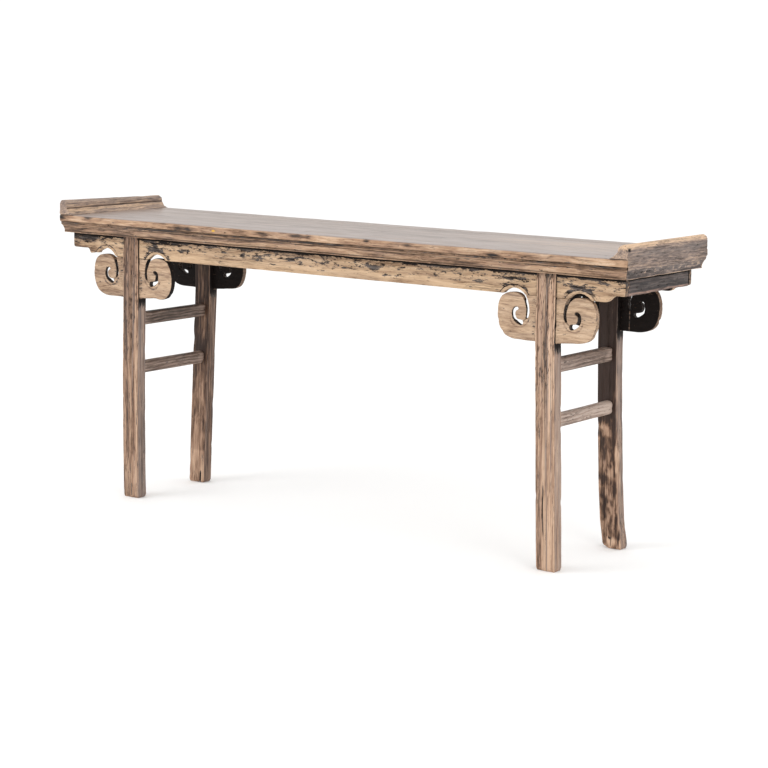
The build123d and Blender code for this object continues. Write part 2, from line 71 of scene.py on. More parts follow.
lens = bpy.data.cameras.new("camera")
lens.lens = CAMERA_LENS
camera = bpy.data.objects.new("camera", lens)
bpy.context.scene.collection.objects.link(camera)
camera.matrix_world = (Matrix.Translation(CAMERA_PLACE) @ Matrix.Rotation(CAMERA_YAW, 4, "Z")
                       @ Matrix.Rotation(math.pi / 2 + CAMERA_PITCH, 4, "X")
                       @ Matrix.Rotation(CAMERA_ROLL, 4, "Z"))
bpy.context.scene.camera = camera
bpy.context.scene.view_settings.view_transform = "Standard"

# -------------------------------------------- floor and studio light
# A plain pale floor in a white studio.  A broad soft lamp hangs in front of the table and to
# its left, and a weaker one stands to its right.
FLOOR_WHITE = (0.97, 0.97, 0.965, 1)
FLOOR_REACH = 40.0
STUDIO_STRENGTH = 1.1
LAMPS = {"left_lamp": ((-2.4, -3.4, 3.2), 3.0, 60.0), "right_lamp": ((3.8, -1.8, 2.4), 2.0, 26.0)}

floor_mesh = bpy.data.meshes.new("floor")
floor_mesh.from_pydata([(x * FLOOR_REACH, y * FLOOR_REACH, 0) for x, y in
                        ((-1, -1), (1, -1), (1, 1), (-1, 1))], [], [(0, 1, 2, 3)])
floor = bpy.data.objects.new("floor", floor_mesh)
bpy.context.scene.collection.objects.link(floor)
floor_paint = bpy.data.materials.new("floor_paint")
floor_paint.use_nodes = True
floor_paint.node_tree.nodes["Principled BSDF"].inputs["Base Color"].default_value = FLOOR_WHITE
floor_paint.node_tree.nodes["Principled BSDF"].inputs["Roughness"].default_value = 0.9
floor_mesh.materials.append(floor_paint)

studio = bpy.data.worlds.new("studio")
studio.use_nodes = True
studio.node_tree.nodes["Background"].inputs["Color"].default_value = (1, 1, 1, 1)
studio.node_tree.nodes["Background"].inputs["Strength"].default_value = STUDIO_STRENGTH
bpy.context.scene.world = studio

for name, (place, size, power) in LAMPS.items():
    glow = bpy.data.lights.new(name, "AREA")
    glow.shape, glow.size, glow.energy = "DISK", size, power
    lamp = bpy.data.objects.new(name, glow)
    bpy.context.scene.collection.objects.link(lamp)
    lamp.location = place
    lamp.rotation_euler = (Vector((0, 0, 0.6)) - Vector(place)).to_track_quat("-Z", "Y").to_euler()

# -------------------------------------------- long rails
# The front and back members of the top's frame: old softwood, moulded along the edge with a
# band, a groove, a bead, a hollow and a foot bead, and mitred into the end rails.  Hands and
# weather have rounded the arris and darkened the grooves.
half_length, half_depth = cad_high.x, cad_high.y
table_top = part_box("top_panel")[1].z
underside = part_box("front_rail")[0].z
top_thickness = table_top - underside
long_rail_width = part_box("front_rail")[1].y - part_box("front_rail")[0].y
end_rail_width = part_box("right_end_rail")[1].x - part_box("right_end_rail")[0].x
mitre_run = end_rail_width / long_rail_width

# The moulding: how far below the flat each part of it ends, and how far in from the edge it lies.
ARRIS = 5 * MM
ARRIS_MIDDLE = 0.29 * ARRIS
BAND = 21.5 * MM
GROOVE_FOOT, GROOVE_DEPTH = 27.5 * MM, 5 * MM
BEAD_FOOT, BEAD_SET_BACK, BEAD_OUT = 32 * MM, 6.5 * MM, 3.2 * MM
COVE_HOLLOW = 1.2 * MM
FOOT_BEAD_TOP, FOOT_BEAD_SET_BACK, FOOT_BEAD_OUT = 51 * MM, 14 * MM, 12.2 * MM
UNDERCUT = 15.5 * MM
# Steps between the points of a rail: along it, across its flat, down its edge and under it.
RAIL_STEP, FLAT_STEP, EDGE_STEP, UNDER_STEP = 4 * MM, 3 * MM, 1.4 * MM, 6 * MM

EDGE_SHADES = ((0.012, 0.008, 0.006), (0.11, 0.059, 0.033), (0.315, 0.184, 0.11),
               (0.45, 0.282, 0.172), (0.58, 0.41, 0.28))
TOP_SHADES = ((0.105, 0.07, 0.052), (0.17, 0.122, 0.097), (0.24, 0.176, 0.14),
              (0.305, 0.22, 0.172), (0.39, 0.27, 0.188))
GREY_BLOOM = (0.25, 0.20, 0.178)
LACQUER_AND_SHADOW_BLACK, LACQUER_GREY = (0.011, 0.008, 0.007), (0.115, 0.096, 0.088)
DIRT = (0.016, 0.010, 0.007)
PAINT_YELLOW = (0.72, 0.40, 0.02)
SHADE_STOPS = (0.06, 0.28, 0.5, 0.72, 0.94)     # the tone of each shade, from dark to pale
BROAD, STREAK, FIBRE = 46.0, 185.0, 430.0       # how fine the grain is, in figures to a metre


def bend(first, middle, last, rounds=6):
    """Points of a smooth curve through three points."""
    first, middle, last = (np.array(p, float) for p in (first, middle, last))
    t = np.linspace(0, 1, rounds)[:, None]
    control = 2 * middle - (first + last) / 2
    return (1 - t) ** 2 * first + 2 * t * (1 - t) * control + t ** 2 * last


def divide(points, step):
    """A line with more points on it, none further apart than the step."""
    points = np.array(points, float)
    line = [points[:1]]
    for start, end in zip(points[:-1], points[1:]):
        count = max(1, math.ceil(np.linalg.norm(end - start) / step))
        line.append(start + (end - start) * np.arange(1, count + 1)[:, None] / count)
    return np.concatenate(line)


def rail_section():
    """Section of a long rail, as set-back from the edge and drop below the flat."""
    return np.concatenate([
        divide([(long_rail_width, 0), (ARRIS, 0)], FLAT_STEP),
        bend((ARRIS, 0), (ARRIS_MIDDLE, ARRIS_MIDDLE), (0, ARRIS))[1:],
        divide([(0, ARRIS), (0, BAND), (GROOVE_DEPTH, BAND), (GROOVE_DEPTH, GROOVE_FOOT)],
               EDGE_STEP)[1:],
        bend((GROOVE_DEPTH, GROOVE_FOOT), (BEAD_OUT, (GROOVE_FOOT + BEAD_FOOT) / 2),
             (BEAD_SET_BACK, BEAD_FOOT))[1:],
        bend((BEAD_SET_BACK, BEAD_FOOT),
             ((BEAD_SET_BACK + FOOT_BEAD_SET_BACK) / 2 + COVE_HOLLOW,
              (BEAD_FOOT + FOOT_BEAD_TOP) / 2),
             (FOOT_BEAD_SET_BACK, FOOT_BEAD_TOP), rounds=14)[1:],
        bend((FOOT_BEAD_SET_BACK, FOOT_BEAD_TOP),
             (FOOT_BEAD_OUT, (FOOT_BEAD_TOP + top_thickness) / 2), (UNDERCUT, top_thickness))[1:],
        divide([(UNDERCUT, top_thickness), (long_rail_width, top_thickness),
                (long_rail_width, 0)], UNDER_STEP)[1:-1]])


def skin(name, rings):
    """A closed mesh over rings of points, all with as many points."""
    count, around = rings.shape[:2]
    index = np.arange(count * around).reshape(count, around)
    here, there = index[:-1], index[1:]
    faces = np.stack([here, np.roll(here, -1, 1), np.roll(there, -1, 1), there],
                     axis=-1).reshape(-1, 4).tolist()
    mesh = bpy.data.meshes.new(name)
    mesh.from_pydata(rings.reshape(-1, 3).tolist(), [],
                     faces + [index[0][::-1].tolist(), index[-1].tolist()])
    if signed_volume(mesh) < 0:
        mesh.flip_normals()
    piece = bpy.data.objects.new(name, mesh)
    bpy.context.scene.collection.objects.link(piece)
    return piece


def signed_volume(mesh):
    """Volume inside a closed mesh, below zero where its faces look inwards."""
    mesh.calc_loop_triangles()
    corners = np.empty(len(mesh.loop_triangles) * 3, np.int32)
    mesh.loop_triangles.foreach_get("vertices", corners)
    a, b, c = (read(mesh, "co")[corners.reshape(-1, 3)[:, i]] for i in range(3))
    return float(np.einsum("ij,ij->i", a, np.cross(b, c)).sum() / 6)


def read(mesh, what):
    """The places (co) or the outward directions (normal) of a mesh's points."""
    values = np.empty(len(mesh.vertices) * 3)
    mesh.vertices.foreach_get(what, values)
    return values.reshape(-1, 3)


def write(piece, **marks):
    """Marks at the points of a piece, which its material reads by name."""
    for name, values in marks.items():
        mark = (piece.data.attributes.get(name)
                or piece.data.attributes.new(name, "FLOAT", "POINT"))
        mark.data.foreach_set("value", np.broadcast_to(
            np.asarray(values, np.float32), len(piece.data.vertices)).copy())


def cloud(points, size, seed, octaves=3):
    """Smooth noise from -1 to 1; size is how far its swells reach, the same or along X, Y, Z."""
    total, weight = np.zeros(len(points)), 0.0
    for octave in range(octaves):
        at = points / np.array(size, float) * 2 ** octave + 37.7 * octave
        cell = np.floor(at).astype(np.int64)
        part = at - cell
        part = part * part * (3 - 2 * part)
        value = np.zeros(len(points))
        for corner in range(8):
            step = np.array([corner & 1, corner >> 1 & 1, corner >> 2])
            # A number from 0 to 1 for the cell's corner, always the same one.
            key = (cell + step) @ np.array([374761393, 668265263, 1103515245])
            key = (key + seed * 974634777) & 0xFFFFFFFF
            key = ((key ^ key >> 13) * 1274126177) & 0xFFFFFFFF
            key = (key ^ key >> 16) / 0xFFFFFFFF
            value += key * np.prod(np.where(step, part, 1 - part), axis=1)
        total += (2 * value - 1) * 0.5 ** octave
        weight += 0.5 ** octave
    return total / weight


def rise(value, low, high):
    """0 at low, 1 at high, and a smooth way between."""
    t = ((value - low) / (high - low)).clip(0, 1)
    return t * t * (3 - 2 * t)


def fall(value, low, high):
    """1 at low, 0 at high, and a smooth way between."""
    return rise(-value, -high, -low)


def between(value, start, full, fade, end):
    """1 from full to fade, 0 before start and after end, and a smooth way between."""
    return rise(value, start, full) * fall(value, fade, end)


def near(value, middle, width):
    """1 at the middle, and softly down to 0 on both sides of it."""
    return np.exp(-((value - middle) / width) ** 2)


def spots(points, *places):
    """Sum of soft spots: each is x, y, z, its reach along X, Y and Z, all in mm, and a weight."""
    total = np.zeros(len(points))
    for *place, weight in places:
        away = (points / MM - place[:3]) / place[3:]
        total += weight * np.exp(-(away ** 2).sum(1))
    return total


def stains(points, plane, rows):
    """Soft spots on the upright face at Y = plane: x, z, reach along X and Z, and a weight."""
    depth = 30                # mm into the wood, more than ever wears off
    return spots(points, *((x, plane / MM, z, wide, depth, high, weight)
                           for x, z, wide, high, weight in rows))


def soften(mesh, points, rounds):
    """The points drawn towards their neighbours, most towards the nearest, as rubbing does."""
    ends = np.empty(len(mesh.edges) * 2, np.int32)
    mesh.edges.foreach_get("vertices", ends)
    ends = ends.reshape(-1, 2)
    one, other = np.concatenate([ends, ends[:, ::-1]]).T
    closeness = 1 / (((points[one] - points[other]) ** 2).sum(1) + 1e-9)
    total = np.bincount(one, closeness, len(points))
    for _ in range(rounds):
        pull = np.stack([np.bincount(one, closeness * points[other, axis], len(points))
                         for axis in range(3)], axis=1) / total[:, None]
        points = points + 0.6 * (pull - points)
    return points


def age(piece, seed, grain, wave=0.7 * MM, ridges=0.25 * MM, rubbing=5, bites=0.0, nicks=0,
        fill=0.0, carve=0.0):
    """Years of use: swells, raised grain, rubbed and bitten arrises, nicks.

    fill is laid on, to make up for what wears off, and carve is what a tool takes off.  Marks
    left on the mesh: rubbed on the arrises, hollow where dirt gathers.
    """
    mesh = piece.data
    points, normals = read(mesh, "co"), read(mesh, "normal")
    axis = "XYZ".index(grain)

    def long(across, along):
        size = [across] * 3
        size[axis] = along
        return size

    soft = soften(mesh, points, rubbing)
    pull = np.einsum("ij,ij->i", soft - points, normals)
    bare = rise(cloud(points, long(0.03, 0.09), seed), -0.35, 0.35)
    arris = rise(-pull, 0.1 * MM, 0.8 * MM)
    points = points + (soft - points) * np.where(pull < 0, 0.3 + 0.7 * bare, 0.1)[:, None]
    depth = wave * (0.5 + 0.5 * cloud(points, long(0.035, 0.16), seed + 1)) - fill
    depth += ridges * (0.5 + 0.5 * cloud(points, long(0.005, 0.12), seed + 2))
    depth += bites * arris * rise(cloud(points, long(0.03, 0.07), seed + 3), -0.1, 0.7)
    if nicks:
        chance = np.random.default_rng(seed)
        edge_points = np.flatnonzero(arris > 0.5)
        for centre in chance.choice(edge_points, min(nicks, len(edge_points)), replace=False):
            reach = np.full(3, chance.uniform(2.5, 6) * MM)
            reach[axis] *= chance.uniform(1.5, 4)
            away = (((points - points[centre]) / reach) ** 2).sum(1)
            depth += chance.uniform(0.5, 1.8) * MM * np.exp(-away)
    points = points - normals * (depth + carve)[:, None]
    mesh.vertices.foreach_set("co", points.ravel())
    mesh.update()
    write(piece, rubbed=arris * (0.35 + 0.65 * bare), hollow=rise(pull, 0.1 * MM, 0.6 * MM),
          lacquer=0.3, tone=0.0)
    return points, normals


def old_wood(name, grain, shades, bloom=0.35, grey=GREY_BLOOM, soil=0.8, gloss=(0.8, 0.55),
             flame=0.12, cracks=0.6, relief=0.5, heart=(0.0, 0.0, 0.0), coat=0.0, size=1.0,
             contrast=1.0, length=1.0):
    """Worn softwood with its grain along one axis, dirt in its hollows, rubbed arrises.

    The shades run from dark to pale.  bloom is how far grey has come over the wood, soil how
    dark its hollows are, and flame how much its growth rings show, which lie round the heart.
    gloss is the roughness of its dark and of its pale grain, and coat a film of polish.  size
    and length stretch the figure as a whole and along the grain.
    """
    material = bpy.data.materials.new(name)
    material.use_nodes = True
    tree = material.node_tree
    axis = "XYZ".index(grain)

    def add(kind, inputs=None, out=0, **settings):
        node = tree.nodes.new("ShaderNode" + kind)
        for key, value in settings.items():
            setattr(node, key, value)
        for key, value in (inputs or {}).items():
            if isinstance(value, bpy.types.NodeSocket):
                tree.links.new(value, node.inputs[key])
            else:
                node.inputs[key].default_value = value
        return node.outputs[out]

    def noise(share, scale, detail=4.0, rough=0.6, warp=0.0, shift=0.0):
        squeeze = [1.0] * 3
        squeeze[axis] = share / length
        at = add("Mapping", {"Vector": place, "Scale": squeeze, "Location": [shift] * 3})
        return add("TexNoise", {"Vector": at, "Scale": scale / size, "Detail": detail,
                                "Roughness": rough, "Distortion": warp})

    def math_of(kind, a, b=0.0, **more):
        return add("Math", {0: a, 1: b}, operation=kind, **more)

    def sums(*terms):
        total = None
        for value, weight in terms:
            part = math_of("MULTIPLY", value, weight)
            total = part if total is None else math_of("ADD", total, part)
        return total

    def step_up(value, low, high, top=1.0):
        return add("MapRange", {"Value": value, "From Min": low, "From Max": high,
                                "To Max": top}, interpolation_type="SMOOTHSTEP")

    def mix(share, a, b):
        a, b = (c if isinstance(c, bpy.types.NodeSocket) else (*c, 1) for c in (a, b))
        return add("Mix", {0: share, 6: a, 7: b}, out=2, data_type="RGBA")

    def mark(attribute):
        return add("Attribute", out=2, attribute_name=attribute)

    # Places on the table, a little swayed so that no line of grain is quite straight.
    straight = add("TexCoord", out=3)
    sway = add("TexNoise", {"Vector": straight, "Scale": 6.0, "Detail": 3.0}, out=1)
    sway = add("VectorMath", {0: sway, 1: (0.5, 0.5, 0.5)}, operation="SUBTRACT")
    sway = add("VectorMath", {0: sway, 3: 0.014}, operation="SCALE")
    place = add("VectorMath", {0: straight, 1: sway}, operation="ADD")

    # The figure: grain at three scales, and growth rings.  Off the long boards the rings lie
    # round two hearts, one at each end of the table.
    broad = noise(0.13, BROAD, detail=5, rough=0.62, warp=0.25)
    streak = noise(0.08, STREAK, detail=5, rough=0.68, warp=0.2)
    fibre = noise(0.06, FIBRE, detail=3)
    squeeze = [1.0] * 3
    squeeze[axis] = 0.035
    mirrored = place
    if grain != "X":
        x, y, z = (add("SeparateXYZ", {0: place}, out=i) for i in range(3))
        mirrored = add("CombineXYZ", {0: math_of("ABSOLUTE", x), 1: y, 2: z})
    rings = add("TexWave", {"Vector": add("Mapping", {"Vector": mirrored, "Scale": squeeze,
                                                      "Location": heart}),
                            "Scale": 34.0 / size, "Distortion": 3.5, "Detail": 4.0,
                            "Detail Scale": 1.6}, out=1, wave_type="RINGS",
                rings_direction=grain)
    tone = sums((broad, 0.32), (streak, 0.42), (fibre, 0.26), (rings, flame))
    middle, spread = 0.5 + flame / 2, 0.19 / contrast
    tone = add("MapRange", {"Value": tone, "From Min": middle - spread,
                            "From Max": middle + spread})
    tone = math_of("ADD", tone, math_of("MULTIPLY", mark("tone"), 0.3))
    ramp = tree.nodes.new("ShaderNodeValToRGB")
    while len(ramp.color_ramp.elements) < len(shades):
        ramp.color_ramp.elements.new(0.5)
    for element, at, shade in zip(ramp.color_ramp.elements, SHADE_STOPS, shades):
        element.position, element.color = at, (*shade, 1)
    tree.links.new(tone, ramp.inputs[0])
    colour = ramp.outputs[0]

    # Grey weathering and painted sheen, cracks and pores, dirt, rubbed wood, and what is left of
    # the lacquer, with painted shadow lines.
    weather = noise(0.1, 40.0, detail=6, rough=0.68, shift=3.1)
    ash = math_of("MULTIPLY", mark("ash"), step_up(weather, 0.35, 0.55))
    colour = mix(math_of("MAXIMUM", step_up(weather, 0.44, 0.64, top=bloom), ash), colour, grey)
    thread = math_of("ABSOLUTE", math_of("SUBTRACT", noise(0.025, 110.0, detail=4, shift=1.7),
                                         0.5))
    crack = add("MapRange", {"Value": thread, "From Min": 0.008, "From Max": 0.03,
                             "To Min": 1.0, "To Max": 0.0})
    crack = math_of("MULTIPLY", crack, step_up(noise(0.2, 18.0, shift=5.3), 0.46, 0.58,
                                               top=cracks))
    pores = step_up(noise(0.14, 330.0, detail=2, shift=9.1), 0.62, 0.70, top=0.8 * cracks)
    facing = add("SeparateXYZ", {0: add("NewGeometry", out=1)}, out=axis)
    checks = math_of("MULTIPLY", math_of("MAXIMUM", crack, pores),
                     step_up(math_of("ABSOLUTE", facing), 0.85, 0.6))
    dirt = math_of("MAXIMUM", math_of("MULTIPLY", mark("hollow"), soil), checks,
                   use_clamp=True)
    colour = mix(dirt, colour, DIRT)
    fresh = math_of("MULTIPLY", mark("rubbed"), step_up(streak, 0.4, 0.6, top=0.7))
    colour = mix(fresh, colour, shades[3])
    blot = sums((noise(0.28, 125.0, detail=8, rough=0.74, warp=0.3, shift=7.7), 0.8),
                (streak, 0.2))
    blot = add("MapRange", {"Value": blot, "From Min": 0.25, "From Max": 0.75})
    kept_film_and_shadow = step_up(math_of("ADD", mark("lacquer"), blot), 1.0, 1.08)
    worn_film = math_of("MULTIPLY", step_up(streak, 0.42, 0.62),
                        step_up(mark("lacquer"), 0.8, 0.6))
    colour = mix(kept_film_and_shadow, colour, mix(worn_film, LACQUER_AND_SHADOW_BLACK, LACQUER_GREY))
    colour = mix(mark("paint"), colour, PAINT_YELLOW)

    # Sheen, and the relief of the grain.
    rough = add("MapRange", {"Value": streak, "From Min": 0.35, "From Max": 0.65,
                             "To Min": gloss[0], "To Max": gloss[1]})
    shine = add("MapRange", {"Value": math_of("MAXIMUM", kept_film_and_shadow, dirt), "To Min": 0.45,
                             "To Max": 0.1})
    height = sums((streak, 0.6), (fibre, 0.4), (broad, 0.3), (dirt, -0.8), (kept_film_and_shadow, 0.3))
    bump = add("Bump", {"Strength": relief, "Distance": 1.0 * MM, "Height": height})
    surface = tree.nodes["Principled BSDF"]
    tree.links.new(colour, surface.inputs["Base Color"])
    tree.links.new(rough, surface.inputs["Roughness"])
    tree.links.new(shine, surface.inputs["Specular IOR Level"])
    tree.links.new(bump, surface.inputs["Normal"])
    surface.inputs["Coat Weight"].default_value = coat
    surface.inputs["Coat Roughness"].default_value = 0.3
    return material


def fit(piece, node, slot, *materials):
    """The piece stands for a node of the frame, with smooth faces and sharp corners."""
    mesh = piece.data
    mesh.shade_smooth()
    mesh.set_sharp_from_angle(angle=math.radians(50))
    mesh.materials.clear()
    for material in materials:
        mesh.materials.append(material)
    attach(piece, "root")
    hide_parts(node)


edge_wood = old_wood("edge_wood", "X", EDGE_SHADES, heart=(0, 0.03, -0.84), bloom=0.2,
                     size=0.8)
# The top's grey is its weathering and also the painted sheen along its front.
top_wood = old_wood("top_wood", "X", TOP_SHADES, grey=(0.298, 0.236, 0.21), bloom=0.6,
                    gloss=(0.5, 0.34), flame=0.16, cracks=0.2, relief=0.14,
                    heart=(0, 0.05, -0.78), coat=0.2, size=1.5, contrast=0.8)

# Dark knots and pale flames along the front band, and tarred stretches of its moulding: x, z,
# reach along X and Z, all in mm, and a weight.
BAND_KNOTS = ((-978, 852, 12, 7, -1.0), (-873, 856, 16, 6, -1.4), (-815, 857, 9, 4, -1.7),
              (-510, 847, 16, 6, -1.3), (-476, 847, 11, 7, -1.2), (-195, 850, 22, 6, -1.4),
              (-76, 852, 26, 6, -1.5), (-30, 852, 14, 6, -1.6), (171, 854, 9, 6, -1.9),
              (309, 852, 15, 6, -1.0), (583, 843, 16, 6, -1.7), (700, 846, 40, 4, -1.0),
              (960, 850, 12, 8, -0.8), (-650, 852, 60, 7, 0.8), (60, 850, 50, 7, 0.7),
              (400, 850, 60, 7, 0.9))
EDGE_TAR = ((-640, 831, 90, 3, 0.14), (-460, 829, 60, 3, 0.1), (380, 835, 80, 3, 0.1),
            (560, 836, 110, 3, 0.12), (800, 838, 120, 3, 0.1), (700, 826, 150, 2.5, 0.1),
            (-30, 833, 120, 3, 0.1), (950, 846, 25, 4, 0.08))
# A fleck of yellow paint on the band.
PAINT_FLECK = (-377, -223.5, 847, 7, 12, 3.2, 1.0)
# Lines of dirt along the moulding: how far below the flat, and how wide.
GROOVE_DIRT, BEAD_DIRT, FOOT_DIRT = (25 * MM, 3.2 * MM), (33 * MM, 1.6 * MM), (50 * MM, 2.2 * MM)
GROOVE_SHADE = (24.5 * MM, 2.6 * MM)


def blunt(points):
    """How far the front left corner has worn back."""
    left = rise(-points[:, 0], half_length - 20 * MM, half_length - 2 * MM)
    front = rise(-points[:, 1], 60 * MM, half_depth - 10 * MM)
    low = rise(table_top - points[:, 2], -10 * MM, 10 * MM)
    return (3.0 + 1.6 * low) * MM * left * front


section = rail_section()
set_back, drop = section.T
stations = np.linspace(-1, 1, round(2 * half_length / RAIL_STEP) + 1)
flat_faces = round((long_rail_width - ARRIS) / FLAT_STEP)
for node, side in (("front_rail", -1), ("back_rail", 1)):
    rings = np.empty((len(stations), len(section), 3))
    rings[..., 0] = stations[:, None] * (half_length - set_back * mitre_run)
    rings[..., 1] = side * (half_depth - set_back)
    rings[..., 2] = table_top - drop
    piece = skin(f"{node}_wood", rings)
    points, _ = age(piece, 3 + side, "X", wave=0.8 * MM, ridges=0.4 * MM, rubbing=7,
                    bites=2.2 * MM, nicks=90)
    # The arris against the panel stays as it was planed, and the mitres stay true.
    planed = np.tile(rise(set_back, long_rail_width - 8 * MM, long_rail_width - 2 * MM),
                     len(stations))
    points += planed[:, None] * (rings.reshape(-1, 3) - points)
    around = len(section)
    for ring in (slice(0, around), slice(-around, None)):
        reach = half_length - (half_depth - side * points[ring, 1]) * mitre_run
        points[ring, 0] = np.sign(points[ring, 0]) * reach
    points[:, 0] += blunt(points)
    piece.data.vertices.foreach_set("co", points.ravel())
    fallen = table_top - points[:, 2]
    face = side * half_depth
    pale = near(points[:, 0], 0, 0.45) + rise(points[:, 0], 0.35, 0.6)
    edge = rise(fallen, 1 * MM, 4 * MM) * (side < 0)
    rubbed = np.empty(len(points), np.float32)
    piece.data.attributes["rubbed"].data.foreach_get("value", rubbed)
    # Painted sheen: the front rail's flat is painted a paler grey, as the white studio reflects in
    # it.
    write(piece, rubbed=rubbed * edge, ash=0.9 * (1 - edge) * (side < 0),
          lacquer=0.32 + 0.12 * near(fallen, *GROOVE_DIRT) + 0.11 * near(fallen, *BEAD_DIRT)
          + 0.1 * near(fallen, *FOOT_DIRT) + stains(points, face, EDGE_TAR),
          tone=stains(points, face, BAND_KNOTS) - 1.2 * near(fallen, *GROOVE_SHADE)
          + edge * (0.25 + 0.35 * pale - 0.4 * rise(fallen, BAND, BAND + 4 * MM)),
          paint=rise(spots(points, PAINT_FLECK), 0.45, 0.6))
    fit(piece, node, "edge_wood", edge_wood, top_wood)
    # The flat is polished like the panel, over the arris and, at the back, a little beyond it.
    polished = flat_faces + (2 if side < 0 else 5)
    flags = np.zeros(len(piece.data.polygons), np.int32)
    flags[:(len(stations) - 1) * around] = np.tile(np.arange(around) < polished,
                                                   len(stations) - 1)
    piece.data.polygons.foreach_set("material_index", flags)

# -------------------------------------------- end rails
# The end members of the frame, each in one piece with its everted flange: a thick lip that
# scrolls up and out over the end grain of the long rails, hollowed and grooved on its inner face.
END_SHADES = ((0.05, 0.036, 0.032), (0.17, 0.124, 0.104), (0.29, 0.208, 0.164),
              (0.43, 0.298, 0.21), (0.66, 0.45, 0.29))
# Heights from the flat of the top: the flange's crest, groove and the painted highlight in the
# cove under the groove, the moulding below them, and the bands of tar, ash and russet wood on the
# outer face.
CREST_FOOT, CREST_TOP, FLANGE_GROOVE, COVE_HIGHLIGHT = 18 * MM, 32 * MM, 20 * MM, 13 * MM
END_GROOVE, END_COVE, END_LIP = -24.5 * MM, -38 * MM, -53 * MM
TAR_BAND, ASH_BAND, RUSSET_BAND = 12 * MM, 10 * MM, -15 * MM
OUTER_EDGE = 970 * MM         # the moulded edge lies beyond this, from the table's middle
KNOT_HOLE = (992, -213, 884, 8, 9, 5, 1.0)


def resurfaced(node, size):
    """A copy of a solid with an even, fine skin that can be worn."""
    piece = frame["nodes"][node].copy()
    piece.data = frame["nodes"][node].data.copy()
    piece.name = f"{node}_wood"
    piece.parent = None
    for key in list(piece.keys()):      # what the frame has noted on the solid
        if key.startswith("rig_"):
            del piece[key]
    bpy.context.scene.collection.objects.link(piece)
    remesh = piece.modifiers.new("skin", "REMESH")
    remesh.mode, remesh.voxel_size, remesh.use_smooth_shade = "VOXEL", size, True
    shape(piece)
    return piece


def shape(piece):
    """Gives a piece the mesh that its modifiers make of it."""
    bpy.context.view_layer.update()
    made = piece.evaluated_get(bpy.context.evaluated_depsgraph_get())
    piece.data = bpy.data.meshes.new_from_object(made)
    piece.modifiers.clear()


end_wood = old_wood("end_wood", "Y", END_SHADES, grey=(0.17, 0.142, 0.13), bloom=0.24,
                    heart=(-0.94, 0, -0.8), contrast=1.25, size=0.75, flame=0.03)
for node, side in (("left_end_rail", -1), ("right_end_rail", 1)):
    piece = resurfaced(node, 1.7 * MM)
    points, normals = read(piece.data, "co"), read(piece.data, "normal")
    height = points[:, 2] - table_top
    inner_face = rise(-side * normals[:, 0], 0.2, 0.5) * (height > 3 * MM)
    cut = inner_face * near(height, FLANGE_GROOVE, 1.8 * MM)
    front_end = rise(-points[:, 1], half_depth - 14 * MM, half_depth)
    end_grain = front_end * rise(height, -4 * MM, 6 * MM)
    lumps = end_grain * (0.2 + 0.9 * cloud(points, 0.014, 81 + side)) * MM
    lumps -= 1.6 * MM * front_end * near(height, 3 * MM, 6 * MM)
    points, normals = age(piece, 11 + side, "Y", wave=1.0 * MM, ridges=0.5 * MM, nicks=60,
                          rubbing=8, bites=1.2 * MM, carve=2.0 * MM * cut + lumps)
    points[:, 0] += blunt(points)
    height = points[:, 2] - table_top
    edge = side * points[:, 0] > OUTER_EDGE
    points[:, 0] += side * 3.5 * MM * edge * near(height, END_GROOVE, 3.5 * MM)
    points[:, 0] = points[:, 0].clip(-half_length, half_length)
    points[:, 1] = points[:, 1].clip(-half_depth, half_depth)
    piece.data.vertices.foreach_set("co", points.ravel())
    outer = rise(side * normals[:, 0], 0.3, 0.7)
    corner = rise(-points[:, 1], half_depth - 45 * MM, half_depth)
    low = outer * near(height, END_COVE, 9 * MM)
    lip = edge * fall(height, END_LIP - 1 * MM, END_LIP + 1 * MM)
    tarred = low * (0.1 + 0.14 * rise(-points[:, 1], 0, 0.14))
    tarred += 0.06 * outer * near(height, TAR_BAND, 10 * MM)
    flecks = rise(cloud(points, (0.006, 0.014, 0.005), 86 + side), 0.1, 0.4)
    hole = spots(points, KNOT_HOLE)
    write(piece, lacquer=0.32 + 0.08 * end_grain + tarred + 0.5 * hole - 0.3 * lip,
          hollow=np.maximum(rise(cut, 0.25, 0.8), hole),
          ash=outer * (0.6 * near(height, ASH_BAND, 13 * MM) + 0.5 * low) * (1 - 0.7 * corner),
          tone=(0.85 + 1.3 * side) * rise(height, CREST_FOOT, CREST_TOP)
          # Painted light: the flange's inner face is painted lighter, most in the cove under its
          # groove, where the lamps leave it in shade.
          + inner_face * (0.7 + 0.3 * side + 0.9 * near(height, COVE_HIGHLIGHT, 3 * MM))
          + (0.05 * side - 0.2) * end_grain + 0.3 * corner + 2.0 * lip + 2.4 * low * flecks
          + outer * (0.1 * near(height, RUSSET_BAND, 9 * MM) - 0.5
                     - 0.9 * fall(height, -40 * MM, -26 * MM)))
    fit(piece, node, "edge_wood", end_wood)

# -------------------------------------------- panel
# The floating panel of the top, flush with its frame: a wide old board, polished by use, with
# shallow waves along its grain.
PANEL_GAP = 0.2 * MM
PANEL_STEP, ACROSS_STEP, UNDERNEATH_STEP = 7 * MM, 4 * MM, 9 * MM
